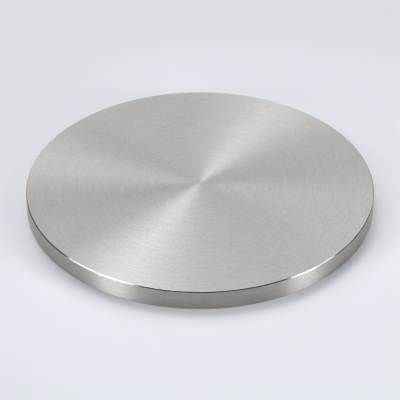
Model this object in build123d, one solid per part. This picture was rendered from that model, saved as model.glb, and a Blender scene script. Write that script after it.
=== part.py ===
"""Round sputtering target: one solid metal disc, turned and faced from a single blank.

The back face lies on the cathode's cooled plate and the front face is worn away by the plasma.
The rim drops into the cathode's recess, and both of its corners are broken so that they neither
chip nor arc. All sizes are in millimetres.

The origin is the centre of the back face. +Z is the turning axis and points out of the front face.
"""

import os

from build123d import Align, Axis, BuildPart, BuildSketch, Plane, Rectangle
from build123d import chamfer, export_step, revolve

TARGET_DIAMETER = 101.6
TARGET_THICKNESS = 6.0
FRONT_EDGE_BREAK = 0.25
BACK_EDGE_BREAK = 0.25


def turned_section():
    """Half section in the XZ plane, from the axis out to the rim, with both rim corners broken."""
    with BuildSketch(Plane.XZ) as section:
        Rectangle(TARGET_DIAMETER / 2, TARGET_THICKNESS, align=(Align.MIN, Align.MIN))
        back_corner, front_corner = section.vertices().group_by(Axis.X)[-1].sort_by(Axis.Z)
        chamfer(back_corner, length=BACK_EDGE_BREAK)
        chamfer(front_corner, length=FRONT_EDGE_BREAK)
    return section.sketch


def target_disc():
    """The disc itself: the half section turned once round the axis."""
    with BuildPart() as disc:
        revolve(turned_section(), axis=Axis.Z)
    disc.part.label = "target_disc"
    return disc.part


if __name__ == "__main__":
    os.makedirs("parts", exist_ok=True)
    export_step(target_disc(), "parts/target_disc.step")
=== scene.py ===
"""Round sputtering target, dressed for rendering: a turned and faced metal disc on a pale floor.

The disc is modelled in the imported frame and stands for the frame's own plain disc. Run it as a
script: main calls one operator for the disc and one for the stage. The same operators are in the
Sputtering Target panel of the 3D view's sidebar. Lengths are in metres.
"""

import math
from typing import NamedTuple

import bpy
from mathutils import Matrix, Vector


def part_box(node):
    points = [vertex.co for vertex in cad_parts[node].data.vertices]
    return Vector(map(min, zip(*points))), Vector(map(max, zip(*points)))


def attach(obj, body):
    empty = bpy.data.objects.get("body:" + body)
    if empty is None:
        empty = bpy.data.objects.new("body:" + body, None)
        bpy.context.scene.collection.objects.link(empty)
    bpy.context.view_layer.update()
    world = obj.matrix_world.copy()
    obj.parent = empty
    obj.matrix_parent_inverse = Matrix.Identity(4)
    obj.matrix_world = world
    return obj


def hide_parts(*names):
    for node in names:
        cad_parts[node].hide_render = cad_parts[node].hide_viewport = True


bl_info = {
    "name": "Sputtering Target",
    "version": (1, 0, 0),
    "blender": (4, 5, 0),
    "location": "View3D > Sidebar > Sputtering Target",
    "description": "Models a round sputtering target with a turned finish, and its stage",
    "category": "Add Mesh",
}

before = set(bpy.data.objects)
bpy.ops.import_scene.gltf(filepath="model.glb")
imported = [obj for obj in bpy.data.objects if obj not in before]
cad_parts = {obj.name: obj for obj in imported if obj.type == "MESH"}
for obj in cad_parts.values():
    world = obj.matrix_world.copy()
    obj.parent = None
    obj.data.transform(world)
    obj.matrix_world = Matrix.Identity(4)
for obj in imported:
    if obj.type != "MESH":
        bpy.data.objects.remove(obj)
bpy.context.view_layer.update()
DISC_LOW, DISC_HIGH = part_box("target_disc")

# The turning axis is the Z axis. The frame's rim is cut into flats, so its box reaches a hair
# less far on some sides, and the shortest reach keeps the disc inside that box.
DISC_RADIUS = min(DISC_HIGH.x, DISC_HIGH.y, -DISC_LOW.x, -DISC_LOW.y)
DISC_THICKNESS = DISC_HIGH.z - DISC_LOW.z
DISC_CENTRE = (0, 0, DISC_LOW.z + DISC_THICKNESS / 2)

# From the centre of the front face, over the rim, to the centre of the back face.
SECTION_LENGTH = 2 * DISC_RADIUS + DISC_THICKNESS

UV_LAYER = "OFBake"

# In the order of the flags of the mesh select mode.
SELECT_MODES = ("VERT", "EDGE", "FACE")

# How near counts as lying on a circle, as a share of the edge break, and as lying on the
# axis, as a share of the radius.
CIRCLE_HAIR = 0.1
AXIS_HAIR = 0.001

# A face normal's lean: how much of it points up or down.
FLAT_LEAN = 0.99
UPRIGHT_LEAN = 0.01

# Smooth round the axis, and true across the section, where every corner turns further.
SMOOTH_ANGLE = math.radians(8)

# Faces across each rounded corner of a chamfer.
CORNER_SEGMENTS = 2

# Half of U, which runs once round the axis.
HALF_TURN = 0.5

# The middle of a noise texture's values, which the marks' shades are spread over.
NOISE_LOW = 0.3
NOISE_HIGH = 0.7

# How finely the streaks break up.
STREAK_DETAIL = 2.0
STREAK_ROUGHNESS = 0.6

# Broad streaks against fine ones.
BROAD_STREAK_LENGTH = 6.0
BROAD_STREAK_WIDTH = 1.4

# How strong the tool marks are on each surface, against those of the faces.
FACE_MARKS = 1.0
RIM_MARKS = 1.25
EDGE_MARKS = 0.2

# How far the broad streaks change the roughness.
ROUGHNESS_SPREAD = 0.015

# A quarter turn makes the gloss spread across the tool marks instead of along them.
ACROSS_THE_MARKS = 0.25

# A pool of painted light on the floor is palest round this point, in disc radii, and fades to the
# floor's far colour, a painted shade, past the fade.
FLOOR_PAINTED_LIGHT_SPOT = (0.5, -0.5)
FLOOR_PAINTED_LIGHT_FADE = (1.2, 2.9)

# The floor is matt.
FLOOR_ROUGHNESS = 1.0
FLOOR_GLOSS = 0.0

# Elevations between which the pale horizon gives way to the dim room.
HORIZON_FADE = (math.radians(4.5), math.radians(6.5))

# A long lens, aimed at the axis a hair below the floor.
CAMERA_DISTANCE = 9.0 * DISC_RADIUS
CAMERA_AZIMUTH = math.radians(-90)
CAMERA_ELEVATION = math.radians(35.55)
CAMERA_AIM_HEIGHT = -0.0001
CAMERA_REACH = 100.0
FOCAL_LENGTH_PIXELS = 1549.0
PICTURE_PIXELS = 400
SENSOR_WIDTH_MM = 36.0


class TargetDiscSettings(bpy.types.PropertyGroup):
    """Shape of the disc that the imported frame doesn't give."""

    edge_break: bpy.props.FloatProperty(
        name="Edge break",
        description="Leg of the 45 degree chamfer round each rim corner",
        default=0.00025,
        min=0.00005,
        precision=5,
        unit="LENGTH",
    )
    corner_radius: bpy.props.FloatProperty(
        name="Corner radius",
        description="Tiny rounding of the two corners of each chamfer",
        default=0.00004,
        precision=5,
        unit="LENGTH",
    )
    rim_segments: bpy.props.IntProperty(
        name="Rim segments",
        description="Faces round the rim",
        default=360,
        min=64,
    )
    face_rings: bpy.props.IntProperty(
        name="Face rings",
        description="Rings of faces between the rim and the centre",
        default=8,
        min=2,
    )


class TurnedFinishSettings(bpy.types.PropertyGroup):
    """Metal and tool marks of the turned faces and the rim."""

    face_colour: bpy.props.FloatVectorProperty(
        name="Face colour",
        description="Reflected colour of the faced metal",
        subtype="COLOR",
        size=3,
        min=0.0,
        max=1.0,
        default=(0.428, 0.4235, 0.4205),
    )
    rim_colour: bpy.props.FloatVectorProperty(
        name="Rim colour",
        description="Reflected colour of the side wall",
        subtype="COLOR",
        size=3,
        min=0.0,
        max=1.0,
        default=(0.432, 0.412, 0.388),
    )
    face_roughness: bpy.props.FloatProperty(
        name="Face roughness",
        description="Roughness of the two faces",
        default=0.41,
        min=0.0,
        max=1.0,
    )
    rim_roughness: bpy.props.FloatProperty(
        name="Rim roughness",
        description="Roughness of the side wall",
        default=0.36,
        min=0.0,
        max=1.0,
    )
    edge_roughness: bpy.props.FloatProperty(
        name="Edge roughness",
        description="Roughness of the two broken edges",
        default=0.13,
        min=0.0,
        max=1.0,
    )
    anisotropy: bpy.props.FloatProperty(
        name="Anisotropy",
        description="How much rougher the metal is across the tool marks than along them",
        default=0.87,
        min=0.0,
        max=1.0,
    )
    groove_pitch: bpy.props.FloatProperty(
        name="Groove pitch",
        description="Distance between neighbouring tool marks",
        default=0.00021,
        precision=5,
        unit="LENGTH",
    )
    streak_length: bpy.props.FloatProperty(
        name="Streak length",
        description="Length of one streak along its tool mark",
        default=0.0009,
        unit="LENGTH",
    )
    fine_contrast: bpy.props.FloatProperty(
        name="Fine contrast",
        description="How far the fine streaks lighten and darken the metal",
        default=0.11,
        min=0.0,
        max=0.5,
    )
    broad_contrast: bpy.props.FloatProperty(
        name="Broad contrast",
        description="How far the broad streaks lighten and darken the metal",
        default=0.065,
        min=0.0,
        max=0.5,
    )
    groove_depth: bpy.props.FloatProperty(
        name="Groove depth",
        description="Depth of the tool marks",
        default=0.0000012,
        precision=7,
        unit="LENGTH",
    )


class StageSettings(bpy.types.PropertyGroup):
    """Floor and room."""

    # The palest floor colour, in the middle of the painted pool of light.
    floor_colour: bpy.props.FloatVectorProperty(
        name="Floor colour",
        description="Colour of the pale floor round the disc",
        subtype="COLOR",
        size=3,
        min=0.0,
        max=1.0,
        default=(0.885, 0.915, 0.965),
    )
    # The darker floor colour past the fade: painted shade where the painted pool of light ends.
    painted_shade_floor_colour: bpy.props.FloatVectorProperty(
        name="Far floor colour",
        description="Colour that the floor takes on away from the disc",
        subtype="COLOR",
        size=3,
        min=0.0,
        max=1.0,
        default=(0.748, 0.774, 0.817),
    )
    horizon_colour: bpy.props.FloatVectorProperty(
        name="Horizon colour",
        description="Colour of the room just above the floor's far edge",
        subtype="COLOR",
        size=3,
        min=0.0,
        max=1.0,
        default=(0.727, 0.752, 0.794),
    )
    room_colour: bpy.props.FloatVectorProperty(
        name="Room colour",
        description="Dim light that reaches the disc from all round, above the horizon",
        subtype="COLOR",
        size=3,
        min=0.0,
        max=1.0,
        default=(0.04, 0.04, 0.04),
    )
    floor_size: bpy.props.FloatProperty(
        name="Floor size",
        description="Side of the square floor",
        default=1.2,
        unit="LENGTH",
    )


class Softbox(NamedTuple):
    """A lamp aimed at the disc: where it stands, and how wide and high it looks, in degrees.

    The azimuth runs from the X axis towards the Y axis, and radiance is how bright it looks.
    """

    name: str
    azimuth: float
    elevation: float
    width: float
    height: float
    radiance: float


# The low strips light the two bright bands of the side wall, and the boxes to the left and right
# stand where the broken edge above those bands mirrors them. Each box over or behind the disc
# makes a light fan on its face, and the higher the box, the nearer the fan lies to the line of
# sight.
SOFTBOX_DISTANCE = 1.4
SOFTBOXES = (
    Softbox("left_strip", 219, 9, 20, 18, 18.0),
    Softbox("right_strip", 333, 9, 16, 18, 20.0),
    Softbox("left_softbox", 191, 34, 19, 14, 3.0),
    Softbox("front_left_softbox", 213, 42, 18, 14, 3.0),
    Softbox("right_softbox", 347, 34, 26, 16, 2.5),
    Softbox("right_side_softbox", 18, 42, 18, 16, 3.0),
    Softbox("over_left_softbox", 135, 64, 24, 24, 2.0),
    Softbox("back_left_softbox", 135, 40, 18, 16, 3.0),
    Softbox("back_right_softbox", 70, 40, 20, 16, 3.5),
    Softbox("back_high_softbox", 95, 62, 30, 20, 4.5),
    Softbox("back_low_strip", 108, 30, 8, 16, 4.0),
    Softbox("back_spot", 98, 42, 8, 8, 5.0),
)


def deselect_all():
    """Nothing stays selected, so the next operator acts on its own mesh alone."""
    if bpy.context.mode != "OBJECT":
        bpy.ops.object.mode_set(mode="OBJECT")
    bpy.ops.object.select_all(action="DESELECT")


def select_nothing(mesh):
    """Clears what is selected in a mesh. Works in object mode."""
    for part in (*mesh.vertices, *mesh.edges, *mesh.polygons):
        part.select = False


def select_circles(mesh, radius, hair):
    """Selects the level edges at this radius and beyond it, less a hair's breadth."""
    select_nothing(mesh)
    for edge in mesh.edges:
        start, end = (mesh.vertices[i].co for i in edge.vertices)
        is_level = abs(start.z - end.z) < hair
        is_out = min(distance_from_axis(start), distance_from_axis(end)) > radius - hair
        edge.select = is_level and is_out


def select_flat_faces(mesh, radius):
    """Selects the faces of both flat sides whose centres lie within this radius."""
    select_nothing(mesh)
    for face in mesh.polygons:
        is_flat = abs(face.normal.z) > FLAT_LEAN
        face.select = is_flat and distance_from_axis(face.center) < radius


def edit_mesh(select_mode, operator, **options):
    """Runs one edit mode operator on what is selected.

    The mode is chosen first, because vertex mode would also select each edge between two ends.
    """
    bpy.context.tool_settings.mesh_select_mode = [kind == select_mode for kind in SELECT_MODES]
    bpy.ops.object.mode_set(mode="EDIT")
    operator(**options)
    bpy.ops.object.mode_set(mode="OBJECT")


def distance_from_axis(point):
    """Radius at which a point of the disc lies."""
    return math.hypot(point.x, point.y)


def add_blank(settings):
    """The plain blank: a closed cylinder of the disc's full size, its place in its mesh."""
    deselect_all()
    bpy.ops.mesh.primitive_cylinder_add(
        vertices=settings.rim_segments,
        radius=DISC_RADIUS,
        depth=DISC_THICKNESS,
        end_fill_type="TRIFAN",
        location=DISC_CENTRE,
    )
    bpy.ops.object.transform_apply(location=True, rotation=False, scale=False)
    disc = bpy.context.object
    disc.name = "turned_disc"
    disc.data.name = "turned_disc"
    return disc


def break_edges(disc, settings):
    """Chamfers both rim corners, then rounds the two corners of each chamfer a little."""
    hair = CIRCLE_HAIR * settings.edge_break
    select_circles(disc.data, DISC_RADIUS, hair)
    edit_mesh("EDGE", bpy.ops.mesh.bevel, offset=settings.edge_break, segments=1)
    select_circles(disc.data, DISC_RADIUS - settings.edge_break, hair)
    edit_mesh("EDGE", bpy.ops.mesh.bevel, offset=settings.corner_radius, segments=CORNER_SEGMENTS)


def ring_faces(disc, settings):
    """Insets both faces step by step, so that they are rings round a small central fan."""
    flat_radius = DISC_RADIUS - settings.edge_break - settings.corner_radius
    step = flat_radius / (settings.face_rings + 1)
    for ring in range(settings.face_rings):
        select_flat_faces(disc.data, flat_radius - ring * step)
        edit_mesh("FACE", bpy.ops.mesh.inset, thickness=step, use_even_offset=True)


def turn_of(point):
    """How far round the axis a point lies, from 0 to 1."""
    return math.atan2(point.y, point.x) / math.tau + HALF_TURN


def along_section(face, point):
    """How far along the turned section a face's corner lies, from the front to the back."""
    if face.normal.z > FLAT_LEAN:
        return distance_from_axis(point)
    if face.normal.z < -FLAT_LEAN:
        return SECTION_LENGTH - distance_from_axis(point)
    return DISC_RADIUS + DISC_HIGH.z - point.z


def unroll_disc(disc):
    """Unrolls the surface: once round the axis in U, and along the turned section in V."""
    mesh = disc.data
    layer = mesh.uv_layers.active or mesh.uv_layers.new()
    layer.name = UV_LAYER
    for face in mesh.polygons:
        points = {i: mesh.vertices[mesh.loops[i].vertex_index].co for i in face.loop_indices}
        turns = {}
        for corner, point in points.items():
            if distance_from_axis(point) > AXIS_HAIR * DISC_RADIUS:
                turns[corner] = turn_of(point)
        crosses_seam = max(turns.values()) - min(turns.values()) > HALF_TURN
        if crosses_seam:
            turns = {corner: turn + (turn < HALF_TURN) for corner, turn in turns.items()}
        middle = sum(turns.values()) / len(turns)
        for corner, point in points.items():
            along = along_section(face, point) / SECTION_LENGTH
            layer.data[corner].uv = (turns.get(corner, middle), along)


def connect(tree, source, target):
    """Links one node socket to another."""
    tree.links.new(source, target)


def math_node(tree, operation, first, second=0.0):
    """Adds a Math node. Either operand is a number or a socket. Returns its output."""
    node = tree.nodes.new("ShaderNodeMath")
    node.operation = operation
    for slot, value in zip(node.inputs, (first, second)):
        if isinstance(value, (int, float)):
            slot.default_value = value
        else:
            connect(tree, value, slot)
    return node.outputs["Value"]


def stretched_noise(tree, place, along, across):
    """Noise streaks that are this long along the turning direction and this wide across it."""
    x, y, radial = place
    joined = tree.nodes.new("ShaderNodeCombineXYZ")
    connect(tree, math_node(tree, "DIVIDE", x, along), joined.inputs["X"])
    connect(tree, math_node(tree, "DIVIDE", y, along), joined.inputs["Y"])
    connect(tree, math_node(tree, "DIVIDE", radial, across), joined.inputs["Z"])
    noise = tree.nodes.new("ShaderNodeTexNoise")
    noise.inputs["Scale"].default_value = 1.0
    noise.inputs["Detail"].default_value = STREAK_DETAIL
    noise.inputs["Roughness"].default_value = STREAK_ROUGHNESS
    connect(tree, joined.outputs["Vector"], noise.inputs["Vector"])
    return noise.outputs["Fac"]


def turned_grain_group():
    """Concentric tool marks: fine short streaks, and broader ones several times as long."""
    tree = bpy.data.node_groups.new("Turned Grain", "ShaderNodeTree")
    sockets = tree.interface
    sockets.new_socket("Position", in_out="INPUT", socket_type="NodeSocketVector")
    sockets.new_socket("Pitch", in_out="INPUT", socket_type="NodeSocketFloat")
    sockets.new_socket("Streak Length", in_out="INPUT", socket_type="NodeSocketFloat")
    sockets.new_socket("Fine", in_out="OUTPUT", socket_type="NodeSocketFloat")
    sockets.new_socket("Broad", in_out="OUTPUT", socket_type="NodeSocketFloat")
    given = tree.nodes.new("NodeGroupInput")
    result = tree.nodes.new("NodeGroupOutput")

    split = tree.nodes.new("ShaderNodeSeparateXYZ")
    connect(tree, given.outputs["Position"], split.inputs["Vector"])
    x, y, z = (split.outputs[axis] for axis in "XYZ")
    squares = math_node(
        tree, "ADD", math_node(tree, "MULTIPLY", x, x), math_node(tree, "MULTIPLY", y, y)
    )
    radius = math_node(tree, "SQRT", squares)
    place = (x, y, math_node(tree, "SUBTRACT", radius, z))

    pitch = given.outputs["Pitch"]
    length = given.outputs["Streak Length"]
    connect(tree, stretched_noise(tree, place, length, pitch), result.inputs["Fine"])
    long = math_node(tree, "MULTIPLY", length, BROAD_STREAK_LENGTH)
    wide = math_node(tree, "MULTIPLY", pitch, BROAD_STREAK_WIDTH)
    connect(tree, stretched_noise(tree, place, long, wide), result.inputs["Broad"])
    return tree


def spread(tree, noise, low, high):
    """Spreads the middle of a noise over low to high. Returns the Result socket."""
    node = tree.nodes.new("ShaderNodeMapRange")
    node.inputs["From Min"].default_value = NOISE_LOW
    node.inputs["From Max"].default_value = NOISE_HIGH
    node.inputs["To Min"].default_value = low
    node.inputs["To Max"].default_value = high
    connect(tree, noise, node.inputs["Value"])
    return node.outputs["Result"]


def shaded(tree, colour, factor):
    """A colour multiplied by a varying factor. Returns the Vector socket."""
    node = tree.nodes.new("ShaderNodeVectorMath")
    node.operation = "SCALE"
    node.inputs["Vector"].default_value = colour
    connect(tree, factor, node.inputs["Scale"])
    return node.outputs["Vector"]


def turned_metal(name, colour, roughness, strength, finish, grain):
    """Bare metal with tool marks round the axis. Strength scales their contrast and depth."""
    material = bpy.data.materials.new(name)
    material.use_nodes = True
    tree = material.node_tree
    shader = tree.nodes["Principled BSDF"]
    position = tree.nodes.new("ShaderNodeTexCoord").outputs["Object"]

    marks = tree.nodes.new("ShaderNodeGroup")
    marks.node_tree = grain
    connect(tree, position, marks.inputs["Position"])
    marks.inputs["Pitch"].default_value = finish.groove_pitch
    marks.inputs["Streak Length"].default_value = finish.streak_length
    fine = marks.outputs["Fine"]
    broad = marks.outputs["Broad"]

    fine_shade = strength * finish.fine_contrast
    broad_shade = strength * finish.broad_contrast
    shade = math_node(
        tree,
        "ADD",
        spread(tree, fine, -fine_shade, fine_shade),
        spread(tree, broad, 1 - broad_shade, 1 + broad_shade),
    )
    connect(tree, shaded(tree, colour, shade), shader.inputs["Base Color"])
    dull = spread(tree, broad, roughness + ROUGHNESS_SPREAD, roughness - ROUGHNESS_SPREAD)
    connect(tree, dull, shader.inputs["Roughness"])

    bump = tree.nodes.new("ShaderNodeBump")
    bump.inputs["Distance"].default_value = strength * finish.groove_depth
    connect(tree, fine, bump.inputs["Height"])
    connect(tree, bump.outputs["Normal"], shader.inputs["Normal"])

    lay = tree.nodes.new("ShaderNodeTangent")
    lay.direction_type = "RADIAL"
    lay.axis = "Z"
    connect(tree, lay.outputs["Tangent"], shader.inputs["Tangent"])
    shader.inputs["Metallic"].default_value = 1.0
    shader.inputs["Anisotropic"].default_value = finish.anisotropy
    shader.inputs["Anisotropic Rotation"].default_value = ACROSS_THE_MARKS
    return material


def dress_disc(disc, finish):
    """Gives the faces, the side wall and the broken edges their own turned finishes."""
    grain = turned_grain_group()
    disc.data.materials.clear()
    for name, colour, roughness, strength in (
        ("turned face", finish.face_colour, finish.face_roughness, FACE_MARKS),
        ("turned rim", finish.rim_colour, finish.rim_roughness, RIM_MARKS),
        ("broken edge", finish.face_colour, finish.edge_roughness, EDGE_MARKS),
    ):
        metal = turned_metal(name, colour, roughness, strength, finish, grain)
        disc.data.materials.append(metal)
    slots = {material.name: slot for slot, material in enumerate(disc.data.materials)}
    for face in disc.data.polygons:
        lean = abs(face.normal.z)
        if lean > FLAT_LEAN:
            face.material_index = slots["turned face"]
        elif lean < UPRIGHT_LEAN:
            face.material_index = slots["turned rim"]
        else:
            face.material_index = slots["broken edge"]


class SPUTTERING_TARGET_OT_turn_disc(bpy.types.Operator):
    """Models the target disc with its broken edges and its turned finish"""

    bl_idname = "sputtering_target.turn_disc"
    bl_label = "Turn Disc"

    def execute(self, context):
        settings = context.scene.target_disc_settings
        disc = add_blank(settings)
        break_edges(disc, settings)
        ring_faces(disc, settings)
        unroll_disc(disc)
        dress_disc(disc, context.scene.turned_finish_settings)
        bpy.ops.object.shade_smooth_by_angle(angle=SMOOTH_ANGLE)
        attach(disc, "root")
        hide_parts("target_disc")
        return {"FINISHED"}


def direction(azimuth, elevation):
    """Unit vector towards an azimuth and elevation, in radians."""
    level = math.cos(elevation)
    return Vector(
        (level * math.cos(azimuth), level * math.sin(azimuth), math.sin(elevation))
    )


def aim(thing, target):
    """Turns a lamp or a camera to look at a point, its top upwards."""
    thing.rotation_euler = (Vector(target) - thing.location).to_track_quat("-Z", "Y").to_euler()


def colour_fade(tree, value, start, end, near_colour, far_colour):
    """Passes smoothly from one colour to another between two values. Returns the Color socket."""
    step = tree.nodes.new("ShaderNodeMapRange")
    step.interpolation_type = "SMOOTHSTEP"
    step.inputs["From Min"].default_value = start
    step.inputs["From Max"].default_value = end
    connect(tree, value, step.inputs["Value"])
    blend = tree.nodes.new("ShaderNodeValToRGB")
    near, far = blend.color_ramp.elements
    near.color = (*near_colour, 1)
    far.color = (*far_colour, 1)
    connect(tree, step.outputs["Result"], blend.inputs["Fac"])
    return blend.outputs["Color"]


def floor_material(settings):
    """Matt and pale, with a painted pool of light near the disc and painted shade, a little
    darker, away from it.
    """
    material = bpy.data.materials.new("pale floor")
    material.use_nodes = True
    tree = material.node_tree
    shader = tree.nodes["Principled BSDF"]
    shader.inputs["Roughness"].default_value = FLOOR_ROUGHNESS
    shader.inputs["Specular IOR Level"].default_value = FLOOR_GLOSS

    # Distance from the middle of the painted pool of light.
    from_painted_light_spot = tree.nodes.new("ShaderNodeVectorMath")
    from_painted_light_spot.operation = "DISTANCE"
    position = tree.nodes.new("ShaderNodeTexCoord").outputs["Object"]
    connect(tree, position, from_painted_light_spot.inputs[0])
    across, back = FLOOR_PAINTED_LIGHT_SPOT
    from_painted_light_spot.inputs[1].default_value = (DISC_RADIUS * across, DISC_RADIUS * back, 0)
    start, end = (DISC_RADIUS * part for part in FLOOR_PAINTED_LIGHT_FADE)
    colours = (settings.floor_colour, settings.painted_shade_floor_colour)
    # Painted light and shade: the floor's colour fades from pale to darker with that distance.
    painted_light_tone = colour_fade(tree, from_painted_light_spot.outputs["Value"], start, end, *colours)
    connect(tree, painted_light_tone, shader.inputs["Base Color"])
    return material


def add_floor(settings):
    """The pale floor that the disc lies on."""
    deselect_all()
    bpy.ops.mesh.primitive_plane_add(size=settings.floor_size, location=(0, 0, DISC_LOW.z))
    floor = bpy.context.object
    floor.name = "floor"
    floor.data.materials.append(floor_material(settings))


def softbox_side(degrees):
    """Length at the softboxes' distance that looks this many degrees wide from the disc."""
    return 2 * SOFTBOX_DISTANCE * math.tan(math.radians(degrees) / 2)


def add_softbox(box):
    """One area lamp, hidden from the camera but not from the metal's reflections."""
    deselect_all()
    place = SOFTBOX_DISTANCE * direction(math.radians(box.azimuth), math.radians(box.elevation))
    bpy.ops.object.light_add(type="AREA", location=place)
    lamp = bpy.context.object
    lamp.name = box.name
    lamp.data.shape = "RECTANGLE"
    lamp.data.size = softbox_side(box.width)
    lamp.data.size_y = softbox_side(box.height)
    # A matt lamp gives off pi times its radiance from each unit of its area.
    lamp.data.energy = box.radiance * math.pi * lamp.data.size * lamp.data.size_y
    lamp.visible_camera = False
    aim(lamp, DISC_CENTRE)


def light_room(settings):
    """A dim room with a pale horizon, seen over the floor's far edge from low down."""
    world = bpy.data.worlds.new("room")
    world.use_nodes = True
    tree = world.node_tree
    view = tree.nodes.new("ShaderNodeTexCoord").outputs["Generated"]
    upward = tree.nodes.new("ShaderNodeSeparateXYZ")
    connect(tree, view, upward.inputs["Vector"])
    start, end = (math.sin(elevation) for elevation in HORIZON_FADE)
    colours = (settings.horizon_colour, settings.room_colour)
    glow = colour_fade(tree, upward.outputs["Z"], start, end, *colours)
    connect(tree, glow, tree.nodes["Background"].inputs["Color"])
    bpy.context.scene.world = world


def add_camera():
    """The camera at the photograph's viewing angle."""
    deselect_all()
    place = CAMERA_DISTANCE * direction(CAMERA_AZIMUTH, CAMERA_ELEVATION)
    bpy.ops.object.camera_add(location=place)
    camera = bpy.context.object
    camera.name = "camera"
    camera.data.sensor_width = SENSOR_WIDTH_MM
    camera.data.lens = FOCAL_LENGTH_PIXELS / PICTURE_PIXELS * SENSOR_WIDTH_MM
    camera.data.clip_end = CAMERA_REACH
    aim(camera, (0, 0, CAMERA_AIM_HEIGHT))
    bpy.context.scene.camera = camera


class SPUTTERING_TARGET_OT_set_stage(bpy.types.Operator):
    """Adds the floor, the softboxes, the room light and the camera"""

    bl_idname = "sputtering_target.set_stage"
    bl_label = "Set Stage"

    def execute(self, context):
        settings = context.scene.target_stage_settings
        add_floor(settings)
        for box in SOFTBOXES:
            add_softbox(box)
        light_room(settings)
        add_camera()
        context.scene.view_settings.view_transform = "Standard"
        return {"FINISHED"}


class VIEW3D_PT_sputtering_target(bpy.types.Panel):
    """Lists the settings and the two operators"""

    bl_label = "Sputtering Target"
    bl_space_type = "VIEW_3D"
    bl_region_type = "UI"
    bl_category = "Sputtering Target"

    def draw(self, context):
        scene = context.scene
        for settings in (
            scene.target_disc_settings,
            scene.turned_finish_settings,
            scene.target_stage_settings,
        ):
            for name in type(settings).__annotations__:
                self.layout.prop(settings, name)
        self.layout.operator(SPUTTERING_TARGET_OT_turn_disc.bl_idname)
        self.layout.operator(SPUTTERING_TARGET_OT_set_stage.bl_idname)


CLASSES = (
    TargetDiscSettings,
    TurnedFinishSettings,
    StageSettings,
    SPUTTERING_TARGET_OT_turn_disc,
    SPUTTERING_TARGET_OT_set_stage,
    VIEW3D_PT_sputtering_target,
)


def register():
    """Registers the classes and hangs the settings on the scene."""
    for cls in CLASSES:
        bpy.utils.register_class(cls)
    scene_type = bpy.types.Scene
    scene_type.target_disc_settings = bpy.props.PointerProperty(type=TargetDiscSettings)
    scene_type.turned_finish_settings = bpy.props.PointerProperty(type=TurnedFinishSettings)
    scene_type.target_stage_settings = bpy.props.PointerProperty(type=StageSettings)


def unregister():
    """Takes the settings and the classes away again."""
    del bpy.types.Scene.target_stage_settings
    del bpy.types.Scene.turned_finish_settings
    del bpy.types.Scene.target_disc_settings
    for cls in reversed(CLASSES):
        bpy.utils.unregister_class(cls)


def main():
    """Makes the disc and its stage."""
    register()
    bpy.ops.sputtering_target.turn_disc()
    bpy.ops.sputtering_target.set_stage()


if __name__ == "__main__":
    main()
